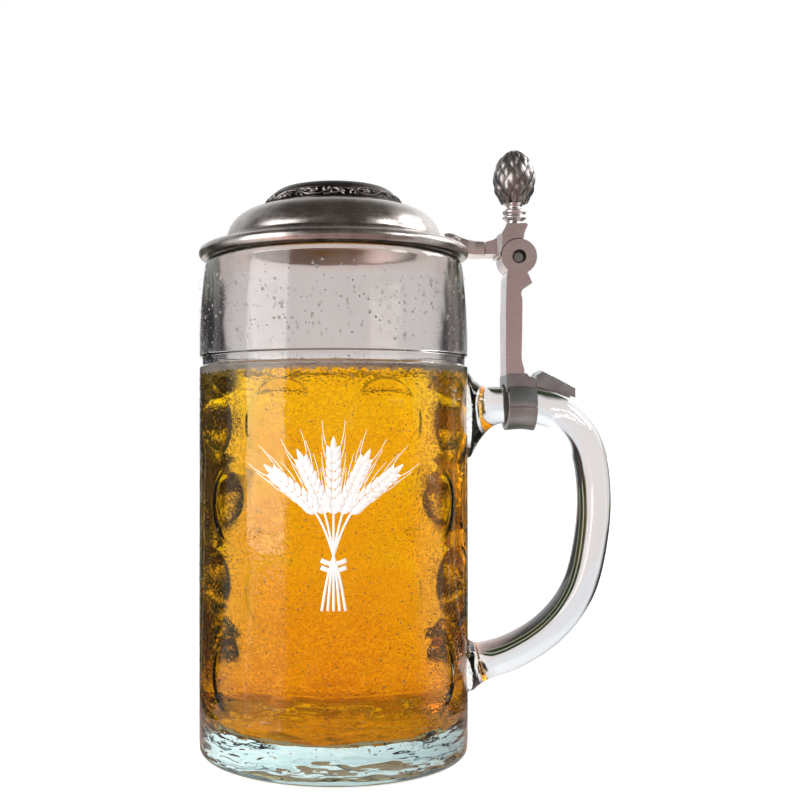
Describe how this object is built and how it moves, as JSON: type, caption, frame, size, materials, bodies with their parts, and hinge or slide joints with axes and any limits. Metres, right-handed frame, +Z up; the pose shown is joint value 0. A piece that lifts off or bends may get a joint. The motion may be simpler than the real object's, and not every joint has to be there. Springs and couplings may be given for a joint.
{
  "type": "lidded beer stein",
  "caption": "Dimpled glass beer stein with a D handle and a hinged pewter lid with pinecone thumb lift on a strap clamped to the handle.",
  "frame": {"origin": "centre of the flat underside of the glass base, on the mug's axis", "axes": "+Z up along the mug's axis, +X from the axis towards the handle and the hinge, +Y along the hinge pin to the left of someone looking along +X"},
  "size_m": [0.1316, 0.086, 0.1919],
  "materials": {
    "clear_glass": "polished",
    "pewter": "satin",
    "antique_pewter": "satin",
    "pin_metal": "satin",
    "cushion": "matte"
  },
  "bodies": {
    "mug_body": {"glass_mug": "clear_glass", "clamp_liner": "cushion", "clamp_saddle": "pewter", "clamp_band": "pewter", "clamp_tail": "pewter", "hinge_strap": "pewter", "hinge_pin": "pin_metal"},
    "lid_assembly": {"lid": "pewter", "lid_relief_ring": "antique_pewter", "lid_medallion": "pewter", "lid_tang": "pewter", "thumb_lift": "pewter", "pinecone": "pewter"}
  },
  "joints": [
    {"name": "lid_hinge", "type": "hinge", "parent": "mug_body", "child": "lid_assembly", "pos_m": [0.0586, 0, 0.1568], "axis": [0, 1, 0], "range_deg": [0, 105]}
  ]
}
